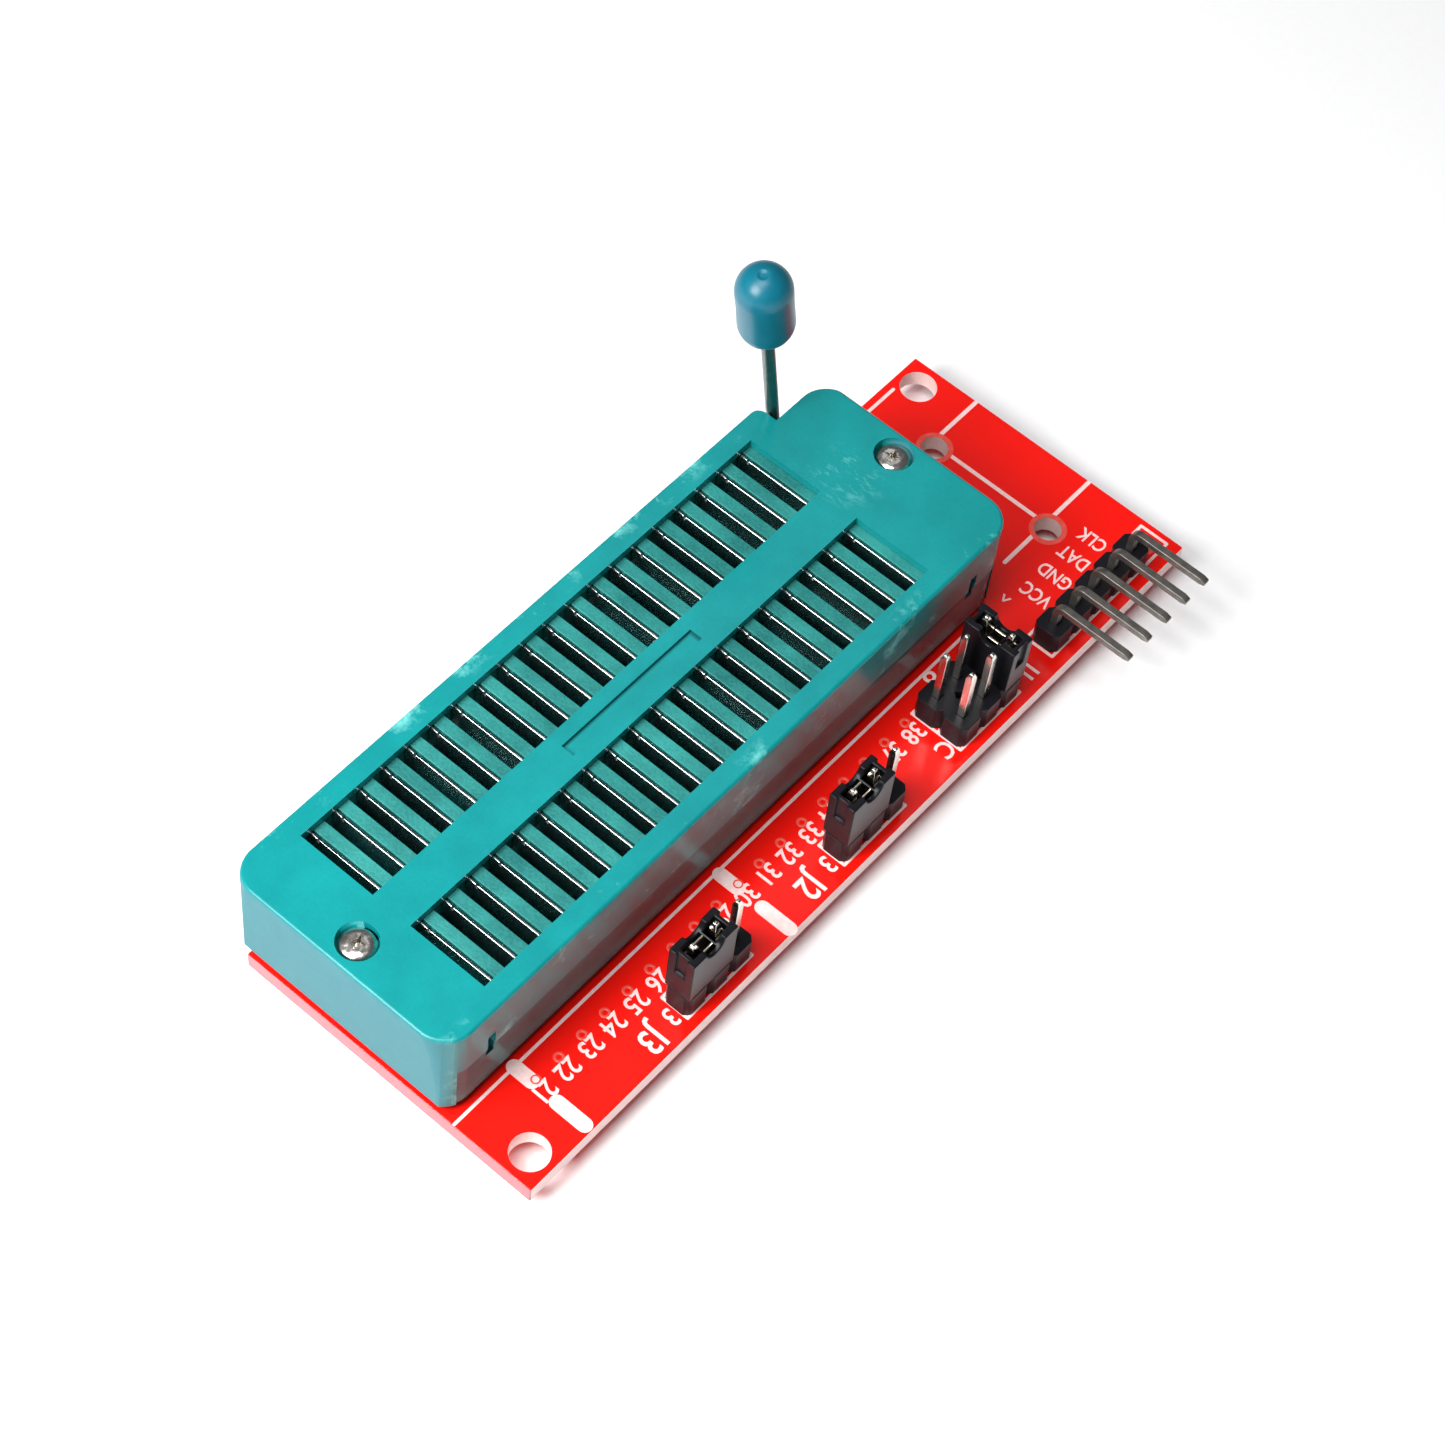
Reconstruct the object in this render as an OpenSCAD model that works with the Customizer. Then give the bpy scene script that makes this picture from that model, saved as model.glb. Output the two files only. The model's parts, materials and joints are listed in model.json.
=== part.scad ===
/* [Circuit board] */
// Length of the board, along X
board_l = 79.5; // [76:0.5:84]
// Width of the board, along Y
board_w = 28.5; // [27.5:0.5:32]
// Thickness of the board
board_t = 1.6; // [1:0.2:2]
// Diameter of the two corner mounting holes
hole_d = 3.2; // [2.6:0.1:3.4]
// Distance from a corner hole to the short edge
hole_inset_x = 2.3; // [2.2:0.1:3]
// Distance from a corner hole to the long edge
hole_inset_y = 2.15; // [2.1:0.05:3]
// Distance between the two shell peg holes of the connector footprint
peg_spacing = 12.04; // [11.9:0.02:12.2]
// Diameter of the shell peg holes
peg_hole_d = 2.3; // [2:0.1:2.5]

/* [Socket] */
// Distance between neighbouring contacts
pitch = 2.54; // [2.54]
// Number of contacts in each row
contacts_per_row = 20; // [18:1:20]
// Distance between the two rows of contact tails
row_spacing = 15.24; // [15.24]
// Length of the socket, along X
socket_l = 65.3; // [64.8:0.1:66]
// Width of the socket, along Y
socket_w = 21.9; // [21.6:0.1:22.4]
// Height of the cover's top above the board
socket_h = 10.7; // [10.4:0.1:11.2]
// Gap between the socket's base and the board
standoff = 0.8; // [0.5:0.1:1]
// Distance from the socket's near end to the middle of the contact rows
near_end = 31.1; // [31:0.1:31.4]
// Radius of the cover's upright corners
corner_r = 2.6; // [2:0.1:3]
// Slope of the end faces over their full height
end_draft = 0.5; // [0:0.1:0.6]

/* [Lever] */
// Lean of the open lever away from upright, in degrees
open_lean = 11.2; // [8:0.2:14]
// Distance from the pivot to the middle of the knob
lever_l = 20.9; // [19:0.1:22]
// Diameter of the lever rod
rod_d = 1.1; // [0.9:0.1:1.2]
// Diameter of the knob
knob_d = 4.6; // [4:0.1:5]
// Length of the knob
knob_l = 8.8; // [8:0.1:9.6]
// Offset of the cam pins from the shaft's axis
cam_offset = 0.45; // [0.3:0.05:0.45]

/* [Headers] */
// Width of the square header pins
pin_w = 0.64; // [0.6:0.02:0.64]
// Height of the header pin tips above the board
pin_rise = 8.1; // [7.6:0.1:8.6]
// Height of a header's moulded strip
strip_h = 2.5; // [2.3:0.1:2.6]
// Reach of the right-angle pins beyond their holes
icsp_reach = 7.2; // [6:0.1:8]
// Height of a jumper cap
cap_h = 5; // [4.6:0.1:5.4]

/* [Hidden] */
$fn = 48;
// Smallest overlap of two joined shapes, and the reach of a cut past the face that it opens
eps = 0.01;
over = 1;

// The origin is the middle of the near mounting hole, on the board's underside
board_x0 = -hole_inset_x;
board_y0 = -hole_inset_y;
far_hole = [board_l - 2 * hole_inset_x, board_w - 2 * hole_inset_y];

// Middle of the socket's contact rows
socket_x = 28.45;
socket_y = 16.9;
rows_half = (contacts_per_row - 1) / 2 * pitch;
socket_x0 = -near_end;
socket_x1 = socket_l - near_end;

// Heights, upwards from the board's underside
base_z = board_t + standoff;
cover_z = board_t + socket_h;
lid_t = 0.75;
lid_z = cover_z - lid_t;
slider_gap = 0.1;
slider_t = 2;
slider_z = lid_z - slider_gap - slider_t;
deck_z = slider_z - slider_gap;
chamber_z = 4;
contact_top = lid_z - 0.05;
skirt_z = cover_z - 5;
notch_z = 5;

// Cover and base walls
skirt_t = 0.95;
end_wall = 1;
base_recess = 0.15;
end_lid_t = 2.2;
end_lid_z = cover_z - end_lid_t;
base_x = [socket_x0 + end_wall + end_draft, socket_x1 - end_wall - end_draft];
near_block = 2.9;
near_block_x = socket_x0 + end_wall + near_block;
screw_boss_w = 4.4;
screw_boss_x = 30.7;
foot = [2.4, 2.4];
foot_inset = 2.2;
foot_x = [socket_x0 + end_wall + foot_inset, socket_x1 - end_wall - foot_inset - foot[0]];

// Windows over the contact rows, and the recess between them
window_x = [-25.2, 25.25];
window_y = [1.85, 9.07];
recess_x = [-6.4, 8.2];
recess_w = 1.2;
recess_depth = 0.3;

// Contacts and the slots that they stand in
contact_t = 0.25;
contact_y = [1.7, 9.2];
slot_y = [1.6, 9.3];
slot_open = 1.12;
slot_behind = 0.33;
tail_w = 0.5;
tail_below = 1.5;
tail_slack = 0.05;
tail_hole_d = 0.9;

// Slider
slider_x = [-26.3, 26.2];
slider_half = 9.8;
arm_y = [3.05, 5.95];
arm_clear = 0.15;
tab_t = 0.7;
tab_z = 6.2;
pocket_x = [27.9, 32];
pocket_z = 5.4;

// Lever pivot and cam shaft
pivot_x = 29.9;
pivot_z = 7.1;
shaft_r = 1.1;
shaft_clear = 0.05;
shaft_y = [-9, 8.95];
shaft_way_y = 7.3;
cam_pin_r = 0.65;
cam_phase = (90 + open_lean) / 2;
cam_slack = 0.06;
hub_r = 1.45;
hub_y = [9.05, 10.75];
rod_y = 9.9;
rod_start = 0.6;
rod_in_knob = 5;
knob_flat = 0.2;
notch_x = 28.2;
notch_y = 8.9;
notch_r = 1;

// Cover screws
screw_x = [-28.7, 32.15];
screw_r = 0.75;
screw_hole_r = 0.85;
screw_end = 4;
head_r = 1.45;
head_h = 0.95;
head_round = 0.35;
bore_r = 1.65;
bore_depth = 1.1;
cross = [0.36, 1.9, 0.5];
cross_turn = 20;

// Snap notches in the socket's long sides
snap_x = [-26.3, 29.4];
snap_w = 0.8;
snap_z = [6.1, 9];
snap_depth = 0.5;

// Headers: first pin of each, and the row that they share
header_y = 0.1;
header_hole_d = 1;
j1_x = 50.1;
j2_x = 35.61;
j3_x = 17.25;
icsp_x = 62.39;
icsp_y = 0.3;
icsp_pins = 5;
icsp_strip_h = 2.2;
icsp_pin_z = 4.3;
icsp_bend_r = 0.75;
strip_w = 2.5;
strip_chamfer = 0.45;
pin_below = 1.5;
tip_l = 0.5;
tip_w = 0.3;

// Jumper caps
cap_l = 5;
cap_w = 2.46;
cap_wall = 0.42;
cap_z = board_t + strip_h + 0.05;
cap_floor = 0.9;
cap_rib = 0.5;
cap_dip_r = 1;
clip_t = 0.2;
clip_gap = 0.06;
clip_h = 3.4;
clip_l = 4.1;

// Plating and solder
pad_t = 0.05;
pad_w = 0.45;
solder_r = 0.85;
solder_tip_r = 0.45;
solder_h = 1;

// Unused connector footprint: two shell pegs and four signal holes
peg_x = 70.8;
peg_y = 13.12;
signal_x = [4.71, 6.71];
signal_half = 1.25;
signal_hole_d = 0.95;

function slot_x(i) = i * pitch - rows_half;
function header_holes(x, y, n) = [for (i = [0 : n - 1]) [x + i * pitch, y]];
// Points of an arc about c, from angle a to angle b
function arc(c, r, a, b, n = 8) = [for (i = [0 : n]) let (t = a + (b - a) * i / n) c + r * [cos(t), sin(t)]];

j1_pins = concat(header_holes(j1_x, header_y, 3), header_holes(j1_x, header_y + pitch, 3));
j2_pins = header_holes(j2_x, header_y, 3);
j3_pins = header_holes(j3_x, header_y, 3);
icsp_at = header_holes(icsp_x, icsp_y, icsp_pins);
header_pins_at = concat(j1_pins, j2_pins, j3_pins, icsp_at);
peg_holes = [for (s = [-1, 1]) [peg_x, peg_y + s * peg_spacing / 2]];
signal_holes = [for (dx = signal_x, s = [-1, 1]) [peg_x - dx, peg_y + s * signal_half]];
spare_hole = [icsp_x + icsp_pins * pitch, icsp_y];
tail_at = [for (s = [-1, 1], i = [0 : contacts_per_row - 1])
    [socket_x + slot_x(i), socket_y + s * row_spacing / 2]];

// A box between two opposite corners
module block(a, b) {
    translate(a) cube(b - a);
}

module in_socket() {
    translate([socket_x, socket_y, 0]) children();
}

// A cylinder along Y, from y[0] to y[1]
module shaft(r, y) {
    translate([0, y[0], 0]) rotate([-90, 0, 0]) cylinder(r = r, h = y[1] - y[0]);
}

module drill(points, d, z, h) {
    for (p = points) translate([p[0], p[1], z]) cylinder(d = d, h = h);
}

// A rectangle between two corners, with round corners
module rounded(a, b, r) {
    translate(a + [r, 0]) square([b[0] - a[0] - 2 * r, b[1] - a[1]]);
    translate(a + [0, r]) square([b[0] - a[0], b[1] - a[1] - 2 * r]);
    for (x = [a[0] + r, b[0] - r], y = [a[1] + r, b[1] - r]) translate([x, y]) circle(r);
}

// Plan of the socket, drawn in by d all round
module socket_plan(d = 0) {
    half = socket_w / 2 - d;
    rounded([socket_x0 + d, -half], [socket_x1 - d, half], corner_r - d);
}

// Plan of the socket above the lever notch, which is open at the far end
module notched_plan(d = 0) {
    half = socket_w / 2 - d;
    end = notch_x - d;
    intersection() {
        socket_plan(d);
        union() {
            translate([socket_x0, -half]) square([end - socket_x0, 2 * half - notch_r]);
            translate([socket_x0, -half]) square([end - notch_r - socket_x0, 2 * half]);
            translate([end - notch_r, half - notch_r]) circle(notch_r);
        }
    }
    rounded([socket_x0 + d, -half], [socket_x1 - d, notch_y - d], corner_r - d);
}

// The socket's outer shape between two heights, with its sloping ends
module socket_shell(z0, z1, d = 0) {
    intersection() {
        union() {
            translate([0, 0, z0]) linear_extrude(notch_z - z0) socket_plan(d);
            translate([0, 0, notch_z - eps]) linear_extrude(z1 - notch_z + eps) notched_plan(d);
        }
        translate([0, socket_w, 0]) rotate([90, 0, 0]) linear_extrude(2 * socket_w) polygon([
            [socket_x0 + d, cover_z], [socket_x0 + d + end_draft, base_z],
            [socket_x1 - d - end_draft, base_z], [socket_x1 - d, cover_z]
        ]);
    }
}

module circuit_board() {
    color("firebrick") difference() {
        translate([board_x0, board_y0, 0]) cube([board_l, board_w, board_t]);
        drill([[0, 0], far_hole], hole_d, -eps, board_t + 2 * eps);
        drill(peg_holes, peg_hole_d, -eps, board_t + 2 * eps);
        drill(signal_holes, signal_hole_d, -eps, board_t + 2 * eps);
        drill(tail_at, tail_hole_d, -eps, board_t + 2 * eps);
        drill(concat(header_pins_at, [spare_hole]), header_hole_d, -eps, board_t + 2 * eps);
    }
}

// Plated rings on the board's top, round the holes that hold nothing
module plated_pads() {
    color("silver") translate([0, 0, board_t]) difference() {
        union() {
            drill(peg_holes, peg_hole_d + 2 * pad_w, 0, pad_t);
            drill(concat(signal_holes, [spare_hole]), header_hole_d + 2 * pad_w, 0, pad_t);
        }
        drill(peg_holes, peg_hole_d, -eps, pad_t + 2 * eps);
        drill(concat(signal_holes, [spare_hole]), header_hole_d, -eps, pad_t + 2 * eps);
    }
}

// Cones of solder under the board, each round a tail of the given size
module solder(points, tail) {
    color("silver") difference() {
        for (p = points) translate([p[0], p[1], -solder_h])
            cylinder(r1 = solder_tip_r, r2 = solder_r, h = solder_h);
        for (p = points) translate([p[0] - tail[0] / 2, p[1] - tail[1] / 2, -solder_h - eps])
            cube([tail[0], tail[1], solder_h + 2 * eps]);
    }
}

module socket_solder_joints() {
    solder(tail_at, [contact_t, tail_w]);
}

module header_solder_joints() {
    solder(header_pins_at, [pin_w, pin_w]);
}

module contact_chambers() {
    for (s = [0, 1], i = [0 : contacts_per_row - 1]) mirror([0, s, 0]) translate([slot_x(i), 0, 0]) {
        block([-slot_open, slot_y[0], chamber_z], [contact_t / 2, slot_y[1], deck_z + eps]);
        block(
            [-contact_t / 2 - tail_slack, row_spacing / 2 - tail_w / 2 - tail_slack, base_z - eps],
            [contact_t / 2 + tail_slack, row_spacing / 2 + tail_w / 2 + tail_slack, chamber_z + eps]
        );
    }
}

module snap_notches() {
    for (s = [0, 1], x = snap_x) mirror([0, s, 0])
        block(
            [x - snap_w / 2, socket_w / 2 - snap_depth, snap_z[0]],
            [x + snap_w / 2, socket_w / 2 + over, snap_z[1]]
        );
}

module socket_base() {
    color("darkcyan") in_socket() difference() {
        union() {
            // Lower half, a little inside the cover's faces, and the core inside the cover
            intersection() {
                socket_shell(base_z, skirt_z, base_recess);
                block([base_x[0], -socket_w, base_z], [base_x[1], socket_w, skirt_z]);
            }
            intersection() {
                socket_shell(base_z, deck_z, skirt_t);
                block([base_x[0], -socket_w, base_z], [base_x[1], socket_w, deck_z]);
            }
            // Block under the near screw, and pillar under the far screw
            intersection() {
                socket_shell(base_z, end_lid_z, skirt_t + eps);
                block([base_x[0], -socket_w, deck_z - eps], [near_block_x, socket_w, end_lid_z]);
            }
            block([screw_boss_x, -screw_boss_w / 2, deck_z - eps], [base_x[1], screw_boss_w / 2, end_lid_z]);
            // Feet
            for (x = foot_x, s = [0, 1]) mirror([0, s, 0])
                translate([x, socket_w / 2 - foot_inset - foot[1], board_t])
                    cube([foot[0], foot[1], standoff + eps]);
        }
        contact_chambers();
        snap_notches();
        // Bearing of the cam shaft, and the pockets round its cam pins
        translate([pivot_x, 0, pivot_z]) shaft(shaft_r + shaft_clear, [shaft_y[0] - shaft_clear, socket_w]);
        for (s = [0, 1]) mirror([0, s, 0])
            block(
                [pocket_x[0], arm_y[0] - arm_clear, pocket_z],
                [pocket_x[1], arm_y[1] + arm_clear, cover_z]
            );
        // Pilot holes of the screws
        for (x = screw_x) translate([x, 0, screw_end]) cylinder(r = screw_r, h = cover_z);
    }
}

module socket_cover() {
    color("teal") in_socket() difference() {
        socket_shell(base_z, cover_z);
        difference() {
            // Hollow for the base and the slider
            union() {
                intersection() {
                    socket_shell(base_z - eps, lid_z, skirt_t);
                    block([base_x[0], -socket_w, base_z - over], [base_x[1], socket_w, cover_z]);
                }
                block([base_x[0], -socket_w, base_z - over], [base_x[1], socket_w, skirt_z]);
            }
            // Thicker lid over the two screw blocks
            block([socket_x0, -socket_w, end_lid_z], [near_block_x, socket_w, cover_z]);
            block([screw_boss_x, -screw_boss_w / 2, end_lid_z], [socket_x1, screw_boss_w / 2, cover_z]);
        }
        // Windows over the contact rows
        for (s = [0, 1]) mirror([0, s, 0])
            block([window_x[0], window_y[0], lid_z - eps], [window_x[1], window_y[1], cover_z + over]);
        block(
            [recess_x[0], -recess_w / 2, cover_z - recess_depth],
            [recess_x[1], recess_w / 2, cover_z + over]
        );
        for (x = screw_x) translate([x, 0, 0]) {
            translate([0, 0, base_z]) cylinder(r = screw_hole_r, h = socket_h);
            translate([0, 0, cover_z - bore_depth]) cylinder(r = bore_r, h = socket_h);
        }
        snap_notches();
        // Way out for the cam shaft into the lever notch
        translate([pivot_x, 0, pivot_z]) shaft(shaft_r + arm_clear, [shaft_way_y, socket_w]);
    }
}

module cover_screws() {
    color("gainsboro") in_socket() for (x = screw_x) translate([x, 0, 0]) difference() {
        union() {
            translate([0, 0, screw_end]) cylinder(r = screw_r, h = cover_z - bore_depth - screw_end + eps);
            translate([0, 0, cover_z - bore_depth]) rotate_extrude() polygon(concat(
                [[0, 0], [head_r, 0]],
                arc([head_r - head_round, head_h - head_round], head_round, 0, 90),
                [[0, head_h]]
            ));
        }
        for (a = [cross_turn, cross_turn + 90])
            translate([0, 0, cover_z - bore_depth + head_h - cross[2] / 2 + eps])
                rotate([0, 0, a]) cube(cross, center = true);
    }
}

// One row of contacts: a spring strip in its chamber, and a tail through the board
module contact_row() {
    for (i = [0 : contacts_per_row - 1]) translate([slot_x(i), 0, 0]) {
        block([-contact_t / 2, contact_y[0], chamber_z], [contact_t / 2, contact_y[1], contact_top]);
        block(
            [-contact_t / 2, row_spacing / 2 - tail_w / 2, -tail_below],
            [contact_t / 2, row_spacing / 2 + tail_w / 2, chamber_z + eps]
        );
    }
}

module left_contacts() {
    color("gainsboro") in_socket() contact_row();
}

module right_contacts() {
    color("gainsboro") in_socket() mirror([0, 1, 0]) contact_row();
}

// Where the cam pins' middle stands with the lever open
cam_pin_x = pivot_x - cam_offset * sin(cam_phase);

module slider_plate() {
    tab_x = [cam_pin_x - cam_pin_r - cam_slack, cam_pin_x + cam_pin_r + cam_slack];
    color("cadetblue") in_socket() difference() {
        union() {
            block([slider_x[0], -slider_half, slider_z], [slider_x[1], slider_half, slider_z + slider_t]);
            for (s = [0, 1]) mirror([0, s, 0]) {
                block(
                    [slider_x[1] - eps, arm_y[0], slider_z],
                    [tab_x[1] + tab_t, arm_y[1], slider_z + slider_t]
                );
                for (x = [tab_x[0] - tab_t, tab_x[1]])
                    block([x, arm_y[0], tab_z], [x + tab_t, arm_y[1], slider_z + eps]);
            }
        }
        for (s = [0, 1], i = [0 : contacts_per_row - 1]) mirror([0, s, 0]) translate([slot_x(i), 0, 0])
            block(
                [-slot_open, slot_y[0], slider_z - eps],
                [slot_behind, slot_y[1], slider_z + slider_t + eps]
            );
    }
}

// Everything on the lever is drawn upright about the pivot, then leaned to its open place
module at_pivot(lean) {
    in_socket() translate([pivot_x, 0, pivot_z]) rotate([0, -lean, 0]) children();
}

module cam_shaft() {
    journals = [
        [shaft_y[0], -arm_y[1] - arm_clear / 2], [-arm_y[0] + arm_clear / 2, arm_y[0] - arm_clear / 2],
        [arm_y[1] + arm_clear / 2, hub_y[0] + eps]
    ];
    color("dimgray") difference() {
        union() {
            at_pivot(0) for (y = journals) shaft(shaft_r, y);
            at_pivot(cam_phase) translate([0, 0, cam_offset]) for (s = [0, 1]) mirror([0, s, 0])
                shaft(cam_pin_r, [arm_y[0] - arm_clear, arm_y[1] + arm_clear]);
            at_pivot(0) shaft(hub_r, hub_y);
        }
        at_pivot(open_lean) translate([0, rod_y, rod_start]) cylinder(d = rod_d, h = lever_l);
    }
}

module lever_rod() {
    color("gray") at_pivot(open_lean) translate([0, rod_y, rod_start])
        cylinder(d = rod_d, h = lever_l - knob_l / 2 + rod_in_knob - rod_start);
}

module lever_knob() {
    r = knob_d / 2;
    z0 = lever_l - knob_l / 2;
    color("steelblue") at_pivot(open_lean) translate([0, rod_y, z0]) difference() {
        rotate_extrude() intersection() {
            union() {
                translate([0, r]) circle(r);
                translate([0, knob_l - r]) circle(r);
                translate([0, r]) square([r, knob_l - 2 * r]);
            }
            translate([0, knob_flat]) square([r, knob_l]);
        }
        translate([0, 0, -eps]) cylinder(d = rod_d, h = rod_in_knob + eps);
    }
}

// One moulded header position, with its cut corners
module strip_cell(w) {
    c = strip_chamfer;
    h = w / 2;
    p = pitch / 2;
    polygon([
        [-p, -h + c], [-p + c, -h], [p - c, -h], [p, -h + c],
        [p, h - c], [p - c, h], [-p + c, h], [-p, h - c]
    ]);
}

module header_strip(x, y, count, rows, h) {
    color("black") difference() {
        for (i = [0 : count - 1], j = [0 : rows - 1]) translate([x + i * pitch, y + j * pitch, board_t])
            linear_extrude(h) strip_cell(rows > 1 ? pitch : strip_w);
        for (i = [0 : count - 1], j = [0 : rows - 1])
            translate([x + i * pitch - pin_w / 2, y + j * pitch - pin_w / 2, board_t - eps])
                cube([pin_w, pin_w, h + 2 * eps]);
    }
}

// Side view of an upright pin with both ends tapered
function pin_side(z0, z1) = [
    [-tip_w / 2, z0], [tip_w / 2, z0], [pin_w / 2, z0 + tip_l], [pin_w / 2, z1 - tip_l],
    [tip_w / 2, z1], [-tip_w / 2, z1], [-pin_w / 2, z1 - tip_l], [-pin_w / 2, z0 + tip_l]
];

module header_pins(points) {
    side = pin_side(-pin_below, board_t + pin_rise);
    color("gainsboro") for (p = points) translate([p[0], p[1], 0]) intersection() {
        translate([0, pin_w / 2, 0]) rotate([90, 0, 0]) linear_extrude(pin_w) polygon(side);
        rotate([90, 0, 90]) translate([0, 0, -pin_w / 2]) linear_extrude(pin_w) polygon(side);
    }
}

module j1_header_strip() {
    header_strip(j1_x, header_y, 3, 2, strip_h);
}

module j1_header_pins() {
    header_pins(j1_pins);
}

module j2_header_strip() {
    header_strip(j2_x, header_y, 3, 1, strip_h);
}

module j2_header_pins() {
    header_pins(j2_pins);
}

module j3_header_strip() {
    header_strip(j3_x, header_y, 3, 1, strip_h);
}

module j3_header_pins() {
    header_pins(j3_pins);
}

module icsp_header_strip() {
    header_strip(icsp_x, icsp_y, icsp_pins, 1, icsp_strip_h);
}

// Right-angle pins: up through the strip, round a bend, and out over the board's edge
module icsp_header_pins() {
    h = pin_w / 2;
    top = board_t + icsp_pin_z;
    bend = [-icsp_bend_r, top - icsp_bend_r];
    side = concat(
        [[-tip_w / 2, -pin_below], [tip_w / 2, -pin_below], [h, tip_l - pin_below]],
        arc(bend, icsp_bend_r + h, 0, 90),
        [[tip_l - icsp_reach, top + h], [-icsp_reach, top + tip_w / 2]],
        [[-icsp_reach, top - tip_w / 2], [tip_l - icsp_reach, top - h]],
        arc(bend, icsp_bend_r - h, 90, 0),
        [[-h, tip_l - pin_below]]
    );
    color("gainsboro") for (p = icsp_at) translate([p[0] - h, p[1], 0])
        rotate([90, 0, 90]) linear_extrude(pin_w) polygon(side);
}

// A jumper cap over two pins along X, drawn about the middle of its foot
module cap_housing() {
    l = cap_l / 2;
    w = cap_w / 2;
    color("black") difference() {
        block([-l, -w, 0], [l, w, cap_h]);
        // Cavity for the clip, open below, and the pin windows through the top
        block([-l + cap_wall, -w + cap_wall, -eps], [l - cap_wall, w - cap_wall, cap_h - cap_floor]);
        for (s = [-1, 1]) translate([s * pitch / 2, 0, cap_h - cap_floor - eps])
            block([-pin_w, -pin_w, 0], [pin_w, pin_w, cap_floor + 2 * eps]);
        // Grip grooves across the two ends
        for (s = [-1, 1]) translate([s * l, 0, 0])
            block([-cap_rib / 2, -cap_rib, cap_h / 2], [cap_rib / 2, cap_rib, cap_h + eps]);
        // Dip across the middle of the top
        translate([0, 0, cap_h]) shaft(cap_dip_r, [-w - eps, w + eps]);
    }
}

// The clip inside: two long springs that hold the pins between them, joined at the ends
module cap_clip() {
    x = clip_l / 2;
    y = pin_w / 2 + clip_gap;
    z = cap_h - cap_floor - clip_h;
    color("goldenrod") translate([0, 0, z]) difference() {
        block([-x, -y - clip_t, 0], [x, y + clip_t, clip_h]);
        block([-x + clip_t, -y, -eps], [x - clip_t, y, clip_h + eps]);
    }
}

module on_j1() {
    translate([j1_x + 2 * pitch, header_y + pitch / 2, cap_z]) rotate([0, 0, 90]) children();
}

module on_j2() {
    translate([j2_x + pitch / 2, header_y, cap_z]) children();
}

module on_j3() {
    translate([j3_x + pitch / 2, header_y, cap_z]) children();
}

module j1_cap_housing() {
    on_j1() cap_housing();
}

module j1_cap_clip() {
    on_j1() cap_clip();
}

module j2_cap_housing() {
    on_j2() cap_housing();
}

module j2_cap_clip() {
    on_j2() cap_clip();
}

module j3_cap_housing() {
    on_j3() cap_housing();
}

module j3_cap_clip() {
    on_j3() cap_clip();
}

circuit_board();
plated_pads();
socket_solder_joints();
header_solder_joints();
socket_base();
socket_cover();
cover_screws();
left_contacts();
right_contacts();
slider_plate();
cam_shaft();
lever_rod();
lever_knob();
j1_header_strip();
j1_header_pins();
j2_header_strip();
j2_header_pins();
j3_header_strip();
j3_header_pins();
icsp_header_strip();
icsp_header_pins();
j1_cap_housing();
j1_cap_clip();
j2_cap_housing();
j2_cap_clip();
j3_cap_housing();
j3_cap_clip();
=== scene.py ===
import json
import math

import bmesh
import bpy
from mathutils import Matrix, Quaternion, Vector


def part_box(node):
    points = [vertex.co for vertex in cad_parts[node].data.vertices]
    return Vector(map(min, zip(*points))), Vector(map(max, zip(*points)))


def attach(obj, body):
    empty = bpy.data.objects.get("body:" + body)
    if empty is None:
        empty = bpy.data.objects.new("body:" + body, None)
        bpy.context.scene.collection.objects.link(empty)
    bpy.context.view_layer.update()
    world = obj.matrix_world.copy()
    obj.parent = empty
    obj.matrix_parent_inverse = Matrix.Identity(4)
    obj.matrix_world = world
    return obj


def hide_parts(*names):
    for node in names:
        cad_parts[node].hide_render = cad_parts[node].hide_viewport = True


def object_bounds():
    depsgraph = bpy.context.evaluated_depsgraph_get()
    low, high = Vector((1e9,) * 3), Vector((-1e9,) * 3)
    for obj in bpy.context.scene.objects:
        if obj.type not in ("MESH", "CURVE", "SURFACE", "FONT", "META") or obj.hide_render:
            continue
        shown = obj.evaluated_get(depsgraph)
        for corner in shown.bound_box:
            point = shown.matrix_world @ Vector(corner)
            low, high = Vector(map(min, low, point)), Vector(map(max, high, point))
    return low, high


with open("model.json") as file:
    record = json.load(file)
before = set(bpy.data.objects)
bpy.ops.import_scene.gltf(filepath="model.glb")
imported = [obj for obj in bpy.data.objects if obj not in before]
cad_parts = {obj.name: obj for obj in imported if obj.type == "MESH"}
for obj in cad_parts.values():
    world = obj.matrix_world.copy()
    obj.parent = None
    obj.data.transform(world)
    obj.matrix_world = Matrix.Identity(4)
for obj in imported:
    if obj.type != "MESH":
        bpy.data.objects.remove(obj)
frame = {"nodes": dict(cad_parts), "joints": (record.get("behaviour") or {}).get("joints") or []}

cad_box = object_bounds()

# ---------------------------------------------------------------- camera
# A short telephoto lens looks down on the header side from the near end,
# turned a little on its own axis.
MM = 0.001
LOOK_AT = Vector((37.82, 14.12, 1.6)) * MM
DISTANCE = 274.82 * MM
AZIMUTH, ELEVATION, ROLL = math.radians(-56.29), math.radians(56.45), math.radians(8.39)

back = Vector((
    math.sin(AZIMUTH) * math.cos(ELEVATION),
    -math.cos(AZIMUTH) * math.cos(ELEVATION),
    math.sin(ELEVATION),
))
bpy.ops.object.camera_add(location=LOOK_AT + DISTANCE * back)
camera = bpy.context.object
camera.rotation_mode = "QUATERNION"
camera.rotation_quaternion = (-back).to_track_quat("-Z", "Y") @ Quaternion((0, 0, 1), ROLL)
camera.data.lens = 87.24
camera.data.sensor_width = 36
camera.data.clip_start = 0.01
bpy.context.scene.camera = camera

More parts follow.
